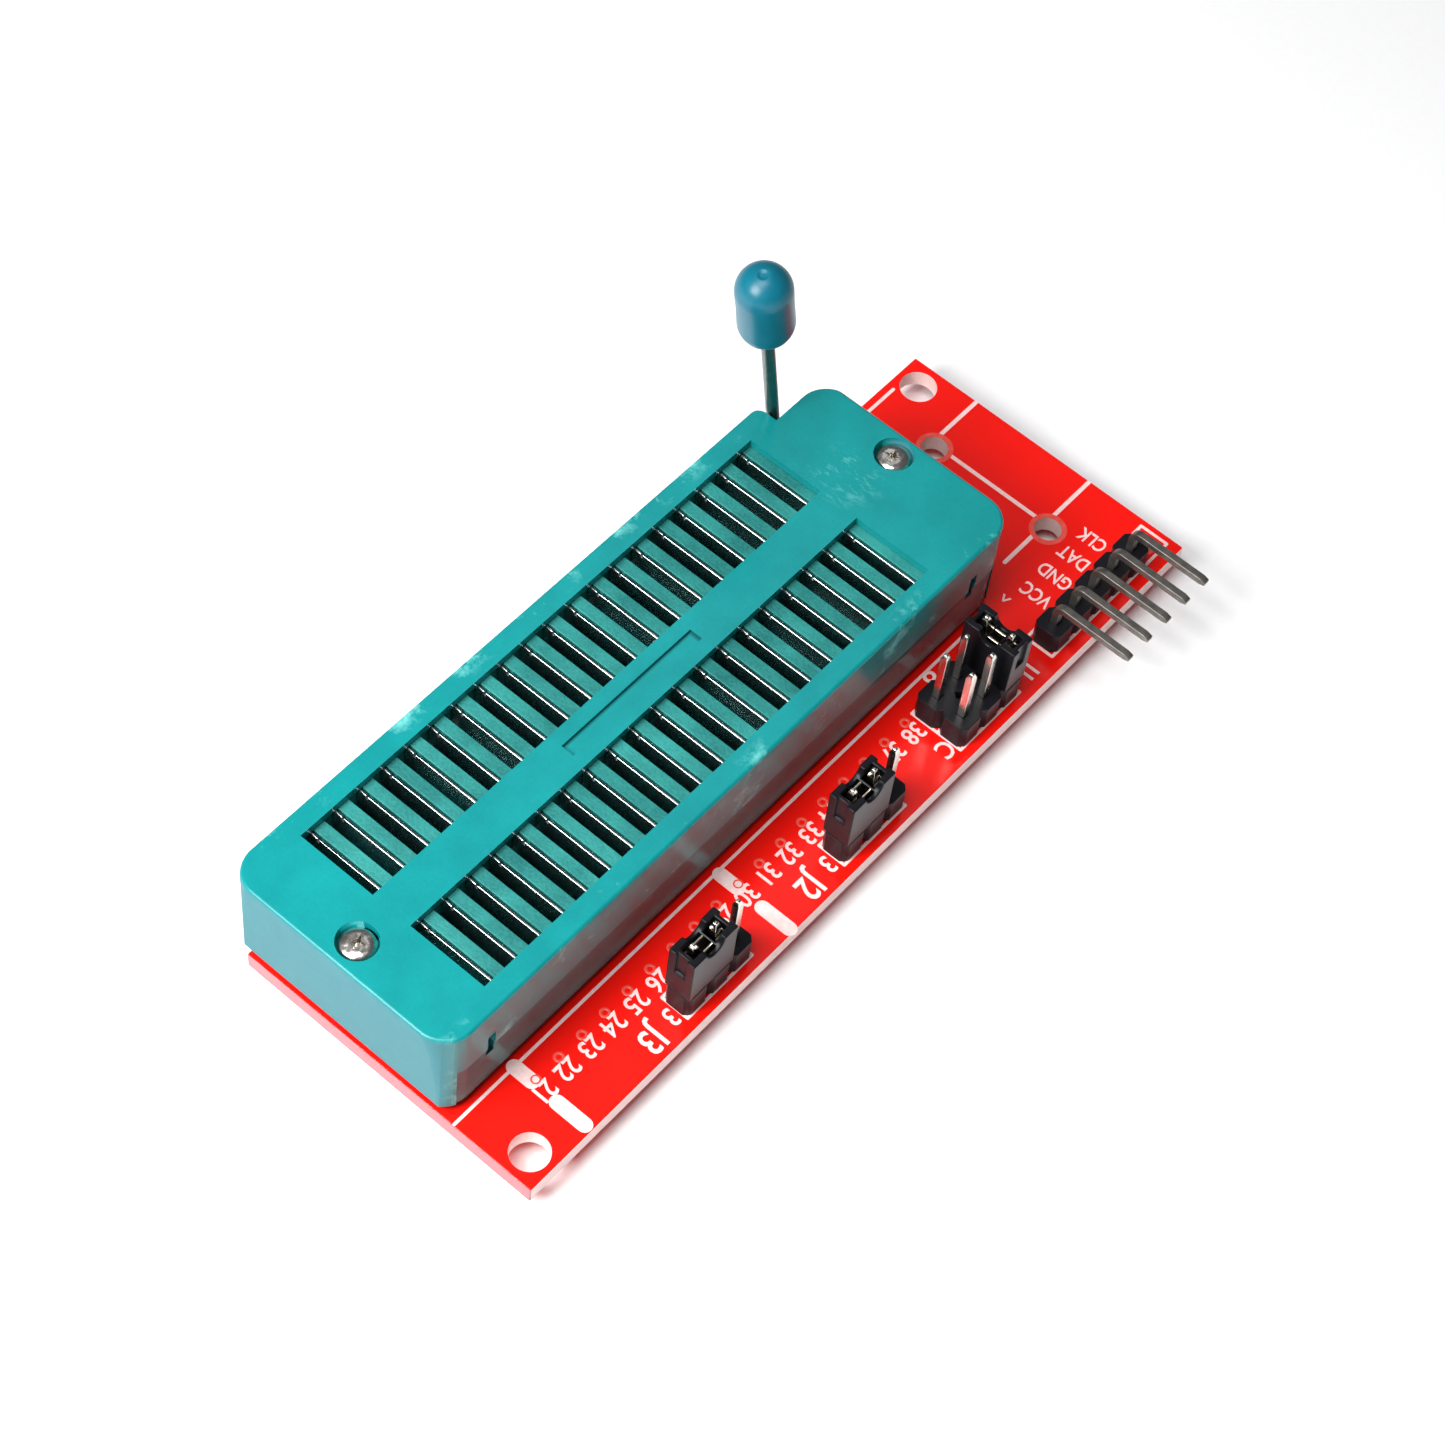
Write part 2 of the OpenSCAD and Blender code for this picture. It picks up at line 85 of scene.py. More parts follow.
# ---------------------------------------------------------------- floor and light
# White paper under the board, a soft box close to the near end, a large one overhead and
# a faint card that the metal reflects. Nothing lights the header side, so the socket's
# long wall stays dark.


def linear(code, alpha=1.0):
    """The linear colour of an sRGB hex code."""
    parts = [int(code[i:i + 2], 16) / 255 for i in (0, 2, 4)]
    return tuple(p / 12.92 if p <= 0.04045 else ((p + 0.055) / 1.055) ** 2.4 for p in parts) + (alpha,)


def add(material, kind, inputs=None, **settings):
    """One shader node, with its settings, and its inputs set or linked."""
    made = material.node_tree.nodes.new("ShaderNode" + kind)
    for name, value in settings.items():
        setattr(made, name, value)
    for name, value in (inputs or {}).items():
        if isinstance(value, bpy.types.NodeSocket):
            material.node_tree.links.new(value, made.inputs[name])
        else:
            made.inputs[name].default_value = value
    return made


# The sockets of a node that mixes two colours
FACTOR, FIRST, SECOND, MIXED = 0, 6, 7, 2


def start_material(name, metallic=0.0, roughness=0.5, specular=0.5):
    """A new material with its shader's even values, and the output of its Object coordinates."""
    made = bpy.data.materials.new(name)
    made.use_nodes = True
    shader = made.node_tree.nodes["Principled BSDF"]
    shader.inputs["Metallic"].default_value = metallic
    shader.inputs["Roughness"].default_value = roughness
    shader.inputs["Specular IOR Level"].default_value = specular
    return made, shader, add(made, "TexCoord").outputs["Object"]


def grain(size_mm):
    """The scale of a noise texture whose spots are about this many millimetres across."""
    return 1 / (size_mm * MM)


def light(name, place, size, power):
    """A rectangular soft box that faces the object."""
    bpy.ops.object.light_add(type="AREA", location=place)
    lamp = bpy.context.object
    lamp.name = name
    lamp.data.shape = "RECTANGLE"
    lamp.data.size, lamp.data.size_y = size
    lamp.data.energy = power
    lamp.rotation_mode = "QUATERNION"
    lamp.rotation_quaternion = (LOOK_AT - Vector(place)).to_track_quat("-Z", "Y")


floor_z = cad_box[0].z
bpy.ops.object.select_all(action="DESELECT")
bpy.ops.mesh.primitive_plane_add(size=3, location=(0, 0, floor_z))
floor = bpy.context.object
floor.name = "paper_floor"
bpy.ops.object.transform_apply(location=True)
# Matt white paper, with a tooth too fine to see
paper, shader, coords = start_material("white_paper", roughness=0.9, specular=0.1)
tooth = add(paper, "TexNoise", {"Vector": coords, "Scale": grain(0.6), "Detail": 3.0})
shade = add(
    paper, "Mix", {FACTOR: tooth.outputs["Fac"], FIRST: linear("f8f8f8"), SECOND: linear("fdfdfd")},
    data_type="RGBA",
)
paper.node_tree.links.new(shade.outputs[MIXED], shader.inputs["Base Color"])
floor.data.materials.append(paper)

light("near_softbox", (-0.10, 0.05, 0.14), (0.10, 0.10), 0.58)
light("overhead_softbox", (-0.12, 0.04, 0.60), (0.36, 0.36), 2.7)
light("far_reflector", (0.245, 0.152, 0.376), (0.10, 0.10), 0.035)
world = bpy.data.worlds.new("studio")
bpy.context.scene.world = world
world.use_nodes = True
world.node_tree.nodes["Background"].inputs["Color"].default_value = linear("f4f6ff")
world.node_tree.nodes["Background"].inputs["Strength"].default_value = 0.1
bpy.context.scene.view_settings.view_transform = "Standard"

# ---------------------------------------------------------------- circuit board
# A 1.6 mm glass and epoxy laminate, routed to size and drilled, with glossy red
# solder mask on both faces. The cut edges and the two corner holes show bare laminate.


def activate(piece):
    bpy.ops.object.select_all(action="DESELECT")
    piece.select_set(True)
    bpy.context.view_layer.objects.active = piece


def merged_copy(node, name):
    """A new piece in a CAD node's shape: one closed mesh with its flat faces joined."""
    piece = bpy.data.objects.new(name, frame["nodes"][node].data.copy())
    bpy.context.collection.objects.link(piece)
    activate(piece)
    bpy.ops.object.mode_set(mode="EDIT")
    bpy.ops.mesh.select_all(action="SELECT")
    bpy.ops.mesh.remove_doubles(threshold=0.001 * MM)
    bpy.ops.mesh.dissolve_limited(angle_limit=math.radians(0.5))
    bpy.ops.object.mode_set(mode="OBJECT")
    return piece


def round_edges(piece, radius, wanted=lambda edge: True, segments=2):
    """Rounds the piece's sharp edges, or those of them that are wanted."""
    activate(piece)
    bpy.ops.object.mode_set(mode="EDIT")
    bpy.ops.mesh.select_mode(type="EDGE")
    bpy.ops.mesh.select_all(action="DESELECT")
    shape = bmesh.from_edit_mesh(piece.data)
    for edge in shape.edges:
        sharp = len(edge.link_faces) == 2 and edge.calc_face_angle() > math.radians(40)
        edge.select_set(sharp and wanted(edge))
    bmesh.update_edit_mesh(piece.data)
    bpy.ops.mesh.bevel(offset=radius, segments=segments, affect="EDGES", clamp_overlap=False)
    bpy.ops.object.mode_set(mode="OBJECT")


def middle(edge):
    return (edge.verts[0].co + edge.verts[1].co) / 2


def upright(edge):
    return abs(edge.verts[0].co.z - edge.verts[1].co.z) > 0.001 * MM


def finish_piece(piece, material, body, smooth=35):
    """Shades, colours and mounts a finished piece."""
    activate(piece)
    bpy.ops.object.shade_smooth_by_angle(angle=math.radians(smooth))
    bpy.ops.object.modifier_add(type="WEIGHTED_NORMAL")
    piece.modifiers[-1].keep_sharp = True
    bpy.ops.object.modifier_apply(modifier=piece.modifiers[-1].name)
    if material:
        piece.data.materials.clear()
        piece.data.materials.append(material)
    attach(piece, body)


board_low, board_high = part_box("circuit_board")
board_top = board_high.z

# Red solder mask: a glossy cured ink over copper and glass cloth. It gives an even,
# saturated red with a faint orange peel and the weave just showing through.
# A wave texture's scale is BAND over the gap between its bands.
BAND = 0.314
solder_mask, shader, coords = start_material("red_solder_mask", roughness=0.2, specular=0.3)
cloud = add(solder_mask, "TexNoise", {"Vector": coords, "Scale": grain(6), "Detail": 2.0})
red = add(
    solder_mask, "Mix", {FACTOR: cloud.outputs["Fac"], FIRST: linear("ee120a"), SECOND: linear("f8180e")},
    data_type="RGBA",
)
solder_mask.node_tree.links.new(red.outputs[MIXED], shader.inputs["Base Color"])
weave = [
    add(
        solder_mask, "TexWave", {"Vector": coords, "Scale": BAND * grain(0.5), "Distortion": 0.4},
        bands_direction=way,
    )
    for way in ("X", "Y")
]
cloth = add(
    solder_mask, "Math", {0: weave[0].outputs["Fac"], 1: weave[1].outputs["Fac"]},
    operation="MULTIPLY",
)
peel = add(solder_mask, "TexNoise", {"Vector": coords, "Scale": grain(0.8), "Detail": 2.0})
relief = add(
    solder_mask, "Math", {0: cloth.outputs[0], 1: 0.3, 2: peel.outputs["Fac"]},
    operation="MULTIPLY_ADD",
)
bump = add(solder_mask, "Bump", {"Height": relief.outputs[0], "Strength": 0.25, "Distance": 0.01 * MM})
solder_mask.node_tree.links.new(bump.outputs[0], shader.inputs["Normal"])

# Cut laminate: resin with layers of glass cloth, pale and pinkish under the red mask
laminate, shader, coords = start_material("cut_glass_epoxy_laminate", roughness=0.6, specular=0.3)
layers = add(
    laminate, "TexWave",
    {"Vector": coords, "Scale": BAND * grain(0.18), "Distortion": 1.5, "Detail": 2.0},
    bands_direction="Z",
)
pale = add(
    laminate, "Mix", {FACTOR: layers.outputs["Fac"], FIRST: linear("f4c8c2"), SECOND: linear("fee8e4")},
    data_type="RGBA",
)
# Painted shade: the cut edge at the socket's near end is a darker, redder pink, which tones down the strong
# near light on it
place = add(laminate, "SeparateXYZ", {"Vector": coords})
near_edge_shade = add(laminate, "MapRange", {
    "Value": place.outputs["X"], "From Min": board_low.x + 0.15 * MM, "From Max": board_low.x + 0.05 * MM,
})
shaded_near_edge = add(
    laminate, "Mix", {FACTOR: near_edge_shade.outputs[0], FIRST: pale.outputs[MIXED], SECOND: linear("b2767b")},
    data_type="RGBA",
)
laminate.node_tree.links.new(shaded_near_edge.outputs[MIXED], shader.inputs["Base Color"])
bump = add(laminate, "Bump", {"Height": layers.outputs["Fac"], "Strength": 0.4, "Distance": 0.03 * MM})
laminate.node_tree.links.new(bump.outputs[0], shader.inputs["Normal"])

board = merged_copy("circuit_board", "board_laminate")
round_edges(board, 0.12 * MM, lambda edge: any(
    abs(middle(edge)[axis] - side[axis]) < 0.01 * MM for axis in (0, 1) for side in (board_low, board_high)
))
board.data.materials.clear()
board.data.materials.append(solder_mask)
board.data.materials.append(laminate)
for face in board.data.polygons:
    face.material_index = int(abs(face.normal.z) < 0.9)
finish_piece(board, None, "root")
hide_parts("circuit_board")

# ---------------------------------------------------------------- copper under the mask
# Etched copper, 0.04 mm thick, that shows as lighter red relief through the mask: rings
# round the open holes, a tented via beside each pin number, and the tracks underneath.
masked_copper, shader, coords = start_material("solder_mask_over_copper", roughness=0.25, specular=0.3)
# The mask is thin over copper, so the metal lightens its red in a fine speckle
speckle = add(masked_copper, "TexNoise", {"Vector": coords, "Scale": grain(0.5), "Detail": 3.0})
ring_red = add(
    masked_copper, "Mix", {FACTOR: speckle.outputs["Fac"], FIRST: linear("e03a30"), SECOND: linear("f8685c")},
    data_type="RGBA",
)
masked_copper.node_tree.links.new(ring_red.outputs[MIXED], shader.inputs["Base Color"])
rings = merged_copy("plated_pads", "copper_rings")
round_edges(rings, 0.03 * MM, lambda edge: middle(edge).z > board_top + 0.04 * MM)
finish_piece(rings, masked_copper, "root")
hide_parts("plated_pads")

# Places on the board in millimetres: the columns of the socket's contacts, its two rows of
# tails, and the first pin of each header
PITCH = 2.54
pin_columns = [4.32 + k * PITCH for k in range(20)]
RIGHT_TAILS_Y, LEFT_TAILS_Y = 9.28, 24.52
J1_X, J2_X, J3_X, BENT_X = 50.1, 35.61, 17.25, 62.39
UPRIGHT_Y, BENT_Y = 0.1, 0.3


def join(parts, name):
    """Joins the parts into one piece whose places and turns are applied."""
    bpy.ops.object.select_all(action="DESELECT")
    for part in parts:
        part.select_set(True)
    bpy.context.view_layer.objects.active = parts[0]
    bpy.ops.object.transform_apply(location=True, rotation=True, scale=True)
    bpy.ops.object.join()
    parts[0].name = name
    return parts[0]


def flat_line(start, end, width, low, high):
    """A flat strip with round ends between two places in millimetres, from one height to another."""
    a, b = Vector(start), Vector(end)
    bpy.ops.mesh.primitive_cube_add(
        size=1, location=(*((a + b) / 2 * MM), (low + high) / 2),
        rotation=(0, 0, math.atan2(b.y - a.y, b.x - a.x)),
        scale=((b - a).length * MM + width * MM, width * MM, high - low),
    )
    line = bpy.context.object
    bpy.ops.object.transform_apply(location=False, rotation=False, scale=True)
    round_edges(line, width * 0.499 * MM, upright, segments=4)
    return line


def ring(x, y, radius, wire):
    """A flattened ring on the board's top, sized in millimetres."""
    bpy.ops.mesh.primitive_torus_add(
        major_radius=radius * MM, minor_radius=wire * MM, major_segments=20, minor_segments=6,
        location=(x * MM, y * MM, board_top),
    )
    made = bpy.context.object
    made.scale.z = 0.3
    return made


vias = join([ring(x + 0.3, 3.65, 0.34, 0.12) for x in pin_columns], "tented_vias")
finish_piece(vias, masked_copper, "root")

# Tracks from the two rows of tails to the headers, each as the corners it turns at. None of
# them crosses another, and they keep clear of the holes.
routes = [
    [(x, RIGHT_TAILS_Y), (x, 7.8 - 0.6 * (k % 4)), (x + 3.2, 4.6 - 0.6 * (k % 4))]
    for k, x in enumerate(pin_columns[:18])
]
for k in range(5):
    tail_x, pin_x, turn_x = pin_columns[4 * k], BENT_X + k * PITCH, 57.4 + 0.9 * k
    long_y, short_y = 17.1 + 1.1 * k, 1.6 + 0.8 * k
    routes.append([
        (tail_x, LEFT_TAILS_Y), (tail_x, long_y), (turn_x, long_y),
        (turn_x, short_y), (pin_x, short_y), (pin_x, BENT_Y),
    ])
routes += [
    [(J3_X, UPRIGHT_Y), (19.5, 2.3), (33.4, 2.3), (J2_X, UPRIGHT_Y)],
    [(J3_X + 2 * PITCH, UPRIGHT_Y), (23.9, 1.6), (32.4, 1.6)],
    [(J2_X + 2 * PITCH, UPRIGHT_Y), (42.9, 2.3), (48.0, 2.3), (J1_X, UPRIGHT_Y)],
]
# Each strip is a hair thicker or thinner than its neighbours, so that no two faces lie in one plane
legs = [leg for route in routes for leg in zip(route, route[1:])]
tracks = join([
    flat_line(a, b, 0.4, board_low.z - (0.04 + k % 5 * 0.001) * MM, board_low.z + 0.02 * MM)
    for k, (a, b) in enumerate(legs)
], "masked_tracks")
finish_piece(tracks, masked_copper, "root")

# ---------------------------------------------------------------- printed legend
# White epoxy ink, screen printed 0.03 mm thick on the red mask: a line along the socket,
# the connector's footprint, the frames of the headers, and plain pin numbers and labels.
INK_TOP = board_top + 0.025 * MM
INK_BOTTOM = board_top - 0.02 * MM
ink_parts = []


def ink_line(start, end, width=0.26):
    """A printed line, a hair higher or lower than its neighbours so that no two tops lie in one plane."""
    ink_parts.append(flat_line(start, end, width, INK_BOTTOM, INK_TOP + len(ink_parts) % 5 * 0.001 * MM))


def ink_text(words, place, height, turn, squeeze=0.85):
    """Printed letters with their middle at a place in millimetres, turned in degrees."""
    bpy.ops.object.text_add()
    text = bpy.context.object
    text.data.body = words
    text.data.size = height / 0.7 * MM
    text.data.offset = 0.02 * height * MM
    text.data.extrude = (INK_TOP - INK_BOTTOM) / 2
    text.data.resolution_u = 3
    text.data.align_x = text.data.align_y = "CENTER"
    bpy.ops.object.convert(target="MESH")
    text.scale.x = squeeze
    text.rotation_euler.z = math.radians(turn)
    text.location = (place[0] * MM, place[1] * MM, (INK_TOP + INK_BOTTOM) / 2)
    ink_parts.append(text)


def ink_frame(low, high):
    """A printed rectangle between two corners in millimetres."""
    (x0, y0), (x1, y1) = low, high
    corners = [(x0, y0), (x1, y0), (x1, y1), (x0, y1)]
    for k in range(4):
        ink_line(corners[k], corners[(k + 1) % 4])


ink_line((-2.1, 5.5), (57.75, 5.5))
ink_line((60, 25.55), (73.2, 25.55), 0.3)
ink_line((72.4, 19.65), (77.0, 19.65), 0.36)
ink_line((71.1, 17.85), (71.1, 8.45), 0.36)
ink_line((72.2, 7.6), (77.0, 7.6), 0.36)
ink_line((65.65, 7.6), (69.5, 7.6), 0.36)
# Broad bars above and below the first and the tenth number
for x, lower in ((pin_columns[0], 0), (pin_columns[9], 0.3)):
    ink_line((x, 5.5 - lower), (x, 3.75 - lower), 1.25)
    ink_line((x, 1.25 - lower), (x, -1.45 - lower), 1.25)
for k, x in enumerate(pin_columns):
    ink_text(str(21 + k), (x, 2.6), 1.55, 180)
ink_frame((16.1, -1.15), (23.5, 1.4))
ink_frame((34.4, -1.2), (41.85, 1.35))
ink_frame((48.85, -1.15), (56.45, 3.8))
ink_line((48.85, 1.2), (49.3, 1.2))
ink_frame((60.95, -0.95), (76.5, 1.7))
for words, place, height in (
    ("3", (15.3, -0.1), 1.6), ("J3", (12.9, -0.35), 2.1),
    ("3", (33.55, -0.15), 1.6), ("J2", (31.1, -0.4), 2.1),
    ("C", (48.05, -0.15), 1.6), ("J1", (58.4, -0.2), 1.75),
):
    ink_text(words, place, height, 180)
for k, words in enumerate(("VCC", "GND", "DAT", "CLK")):
    ink_text(words, (BENT_X + (k + 1) * PITCH, 3.75), 1.3, 90, squeeze=0.75)
ink_text(">", (62.8, 5.4), 1.1, 180)
ink_parts.append(ring(52.58, 5.0, 0.42, 0.16))
legend = join(ink_parts, "printed_legend")
# White legend ink: matt, a little thin, so that the red mask tints it in patches
legend_ink, shader, coords = start_material("white_epoxy_legend_ink", roughness=0.55, specular=0.3)
thin = add(legend_ink, "TexNoise", {"Vector": coords, "Scale": grain(0.35), "Detail": 3.0})
tint = add(
    legend_ink, "Mix", {FACTOR: thin.outputs["Fac"], FIRST: linear("f4b9b5"), SECOND: linear("fff0ee")},
    data_type="RGBA",
)
legend_ink.node_tree.links.new(tint.outputs[MIXED], shader.inputs["Base Color"])
finish_piece(legend, legend_ink, "root")

# ---------------------------------------------------------------- socket base
# The lower half of the socket, moulded in glass-filled polyester. It stands on four
# small feet and holds the contacts, the slider and the shaft of the cam.


def moulded_teal(name, light_code, dark_code, roughness, grain_depth):
    """One shade of the socket's plastic: its material, shader, coordinates and colour."""
    # Glass-filled polyester from a spark-eroded tool: a satin teal, with flow marks a few
    # millimetres across and a fine even grain
    made, shader, coords = start_material(name, roughness=roughness, specular=0.3)
    flow = add(made, "TexNoise", {"Vector": coords, "Scale": grain(5), "Detail": 3.0, "Roughness": 0.6})
    speck = add(made, "TexNoise", {"Vector": coords, "Scale": grain(0.25), "Detail": 2.0})
    both = add(
        made, "Math", {0: speck.outputs["Fac"], 1: 0.35, 2: flow.outputs["Fac"]},
        operation="MULTIPLY_ADD",
    )
    spread = add(made, "MapRange", {"Value": both.outputs[0], "From Min": 0.45, "From Max": 0.95})
    teal = add(
        made, "Mix", {FACTOR: spread.outputs[0], FIRST: linear(dark_code), SECOND: linear(light_code)},
        data_type="RGBA",
    )
    made.node_tree.links.new(teal.outputs[MIXED], shader.inputs["Base Color"])
    bump = add(made, "Bump", {"Height": speck.outputs["Fac"], "Strength": 0.5, "Distance": grain_depth * MM})
    made.node_tree.links.new(bump.outputs[0], shader.inputs["Normal"])
    return made, shader, coords, teal.outputs[MIXED]


# Painted shade: the base is a darker teal than the cover, for the shade on the long wall on the header side,
# where the base shows
base_plastic = moulded_teal("glass_filled_polyester_base_with_painted_shade", "0d7071", "0a5c5d", 0.22, 0.012)[0]
base = merged_copy("socket_base", "socket_base_moulding")
finish_piece(base, base_plastic, "root")
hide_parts("socket_base")

# ---------------------------------------------------------------- contacts
# Forty nickel-plated bronze leaves in two rows, each pressed into its chamber from
# above. The leaf's top edge is rounded, with a nick near one end, and its narrow tail
# goes through the board.
# Nickel plate on bronze: a cool, bright metal in faint streaks, with a slight ripple
nickel, shader, coords = start_material("nickel_plated_bronze", metallic=1.0, roughness=0.24)
streak = add(nickel, "TexNoise", {"Vector": coords, "Scale": grain(0.6), "Detail": 3.0})
bright = add(
    nickel, "Mix", {FACTOR: streak.outputs["Fac"], FIRST: linear("a6b2b0"), SECOND: linear("d3dedc")},
    data_type="RGBA",
)
nickel.node_tree.links.new(bright.outputs[MIXED], shader.inputs["Base Color"])
bump = add(nickel, "Bump", {"Height": streak.outputs["Fac"], "Strength": 0.1, "Distance": 0.006 * MM})
nickel.node_tree.links.new(bump.outputs[0], shader.inputs["Normal"])


def combine(piece, tool, operation):
    """Cuts, joins or keeps the piece's share of the tool, which is used up."""
    activate(piece)
    bpy.ops.object.modifier_add(type="BOOLEAN")
    piece.modifiers[-1].operation = operation
    piece.modifiers[-1].object = tool
    piece.modifiers[-1].solver = "MANIFOLD"
    bpy.ops.object.modifier_apply(modifier=piece.modifiers[-1].name)
    bpy.data.objects.remove(tool)


for side, nick_y in (("left", 25.15), ("right", 14.2)):
    contacts = merged_copy(f"{side}_contacts", f"{side}_contact_leaves")
    round_edges(contacts, 0.08 * MM, lambda edge: middle(edge).z > 11 * MM, segments=3)
    leaf_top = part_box(f"{side}_contacts")[1].z
    bpy.ops.mesh.primitive_cube_add(
        size=1, location=(28 * MM, nick_y * MM, leaf_top), scale=(60 * MM, 0.24 * MM, 0.7 * MM),
    )
    combine(contacts, bpy.context.object, "DIFFERENCE")
    finish_piece(contacts, nickel, "root")
    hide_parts(f"{side}_contacts")

# ---------------------------------------------------------------- slider
# The plate that the cam pushes along to close the contacts: a rougher, greyer
# moulding of the same plastic, with one slot for every contact.
slider_plastic = moulded_teal("glass_filled_polyester_slider", "2f8c86", "17625f", 0.5, 0.1)[0]
slider = merged_copy("slider_plate", "slider_moulding")
# One corner is rounded more, to clear the cover's corner post at the end of the travel
corner = Vector((54.65, 26.7)) * MM
round_edges(
    slider, 0.35 * MM,
    lambda edge: upright(edge) and (middle(edge).xy - corner).length < 0.05 * MM,
    segments=4,
)
round_edges(slider, 0.08 * MM, lambda edge: middle(edge).z > 11 * MM)
finish_piece(slider, slider_plastic, "slider")
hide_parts("slider_plate")

# ---------------------------------------------------------------- cam shaft and lever
# The shaft and its cam pins are one turned bar, and the lever rod is pressed into its
# hub. Both are steel with a thin dark plating.
# Thin dark plating on steel: grey and half bright, with fine draw marks along the rod
plated_steel, shader, coords = start_material("dark_plated_steel", metallic=1.0, roughness=0.32)
draw_marks = add(plated_steel, "Mapping", {"Vector": coords, "Scale": (1.0, 1.0, 0.06)})
drawn = add(plated_steel, "TexNoise", {"Vector": draw_marks.outputs[0], "Scale": grain(0.12), "Detail": 2.0})
steel = add(
    plated_steel, "Mix", {FACTOR: drawn.outputs["Fac"], FIRST: linear("4d5653"), SECOND: linear("8b9490")},
    data_type="RGBA",
)
plated_steel.node_tree.links.new(steel.outputs[MIXED], shader.inputs["Base Color"])
for node, name in (("cam_shaft", "turned_cam_shaft"), ("lever_rod", "drawn_lever_rod")):
    piece = merged_copy(node, name)
    round_edges(piece, 0.08 * MM)
    finish_piece(piece, plated_steel, "lever")
    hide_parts(node)

# ---------------------------------------------------------------- lever knob
# A soft vinyl cap pushed on to the end of the rod: a straight barrel with domed ends, a
# small lip where the rod goes in, and a sunk gate mark on its top.
KNOB_R, KNOB_L = 2.29, 8.78
# How far the knob's middle is from the shaft, and how far the open lever leans
LEVER_L = 20.9
LEAN = math.radians(11.2)


def turned(name, profile, steps=32):
    """A closed turned shape about the upright axis, from its radii and heights in millimetres."""
    radius, height = profile[0]
    bpy.ops.mesh.primitive_circle_add(
        vertices=steps, radius=radius * MM, fill_type="NGON", location=(0, 0, 0),
    )
    piece = bpy.context.object
    piece.name = name
    bpy.ops.object.mode_set(mode="EDIT")
    bpy.ops.mesh.select_all(action="SELECT")
    bpy.ops.transform.translate(value=(0, 0, height * MM))
    for next_radius, next_height in profile[1:]:
        rise = (0, 0, (next_height - height) * MM)
        bpy.ops.mesh.extrude_region_move(TRANSFORM_OT_translate={"value": rise})
        wider = next_radius / radius
        bpy.ops.transform.resize(value=(wider, wider, 1), center_override=(0, 0, next_height * MM))
        radius, height = next_radius, next_height
    bpy.ops.mesh.select_all(action="SELECT")
    bpy.ops.mesh.normals_make_consistent(inside=False)
    bpy.ops.object.mode_set(mode="OBJECT")
    return piece


half_barrel = KNOB_L / 2 - KNOB_R
knob_foot, knob_top = LEVER_L - KNOB_L / 2, LEVER_L + KNOB_L / 2
dome = [(KNOB_R * math.cos(math.radians(a)), KNOB_R * math.sin(math.radians(a))) for a in range(0, 85, 7)]
knob = turned("vinyl_knob", [
    (0.55, knob_foot + 0.25), (0.75, knob_foot + 0.2), (0.95, knob_foot + 0.22),
    (1.02, knob_foot + 0.32), (0.98, knob_foot + 0.42),
    *[(r, LEVER_L - half_barrel - z) for r, z in reversed(dome) if r > 1.2],
    (KNOB_R * 0.985, LEVER_L), *[(r, LEVER_L + half_barrel + z) for r, z in dome if r > 0.5],
    (0.42, knob_top - 0.06), (0.34, knob_top - 0.14), (0.1, knob_top - 0.14),
], steps=48)
pivot = Vector(frame["joints"][0]["pos_m"])
knob.location = (pivot.x, (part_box("lever_knob")[0].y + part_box("lever_knob")[1].y) / 2, pivot.z)
knob.rotation_euler.y = -LEAN
bpy.ops.object.transform_apply(location=True, rotation=True, scale=True)
# Blue vinyl: soft and satin, with cloudy patches and a faint dimpled skin
vinyl, shader, coords = start_material("blue_soft_vinyl", roughness=0.33, specular=0.4)
patch = add(vinyl, "TexNoise", {"Vector": coords, "Scale": grain(2.2), "Detail": 4.0, "Roughness": 0.65})
blue = add(
    vinyl, "Mix", {FACTOR: patch.outputs["Fac"], FIRST: linear("05586a"), SECOND: linear("0a6c81")},
    data_type="RGBA",
)
vinyl.node_tree.links.new(blue.outputs[MIXED], shader.inputs["Base Color"])
dimple = add(vinyl, "TexNoise", {"Vector": coords, "Scale": grain(0.5), "Detail": 2.0})
bump = add(vinyl, "Bump", {"Height": dimple.outputs["Fac"], "Strength": 0.3, "Distance": 0.03 * MM})
vinyl.node_tree.links.new(bump.outputs[0], shader.inputs["Normal"])
finish_piece(knob, vinyl, "lever", smooth=60)
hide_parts("lever_knob")

# ---------------------------------------------------------------- socket cover
# The lid and side walls in one moulding, held by two screws. Its long windows leave the
# contacts open, and its edges carry pale scuffs from handling.
socket_low, socket_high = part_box("socket_cover")
socket_mid = (socket_low + socket_high) / 2
top_z = socket_high.z
cover_plastic, shader, coords, teal = moulded_teal(
    "glass_filled_polyester_cover", "0e8a8b", "0a7b7d", 0.26, 0.01)
axes = add(cover_plastic, "SeparateXYZ", {"Vector": coords})
across = add(cover_plastic, "Math", {0: axes.outputs["Y"], 1: socket_mid.y}, operation="SUBTRACT")
away = add(cover_plastic, "Math", {0: across.outputs[0]}, operation="ABSOLUTE")
rim = add(cover_plastic, "MapRange", {"Value": away.outputs[0], "From Min": 9.4 * MM, "From Max": 10.8 * MM})
rubbed = add(cover_plastic, "TexNoise", {
    "Vector": coords, "Scale": grain(4.5), "Detail": 5.0, "Roughness": 0.75,
})
worn = add(cover_plastic, "MapRange", {"Value": rubbed.outputs["Fac"], "From Min": 0.56, "From Max": 0.7})
scuff = add(cover_plastic, "Math", {0: rim.outputs[0], 1: worn.outputs[0]}, operation="MULTIPLY")
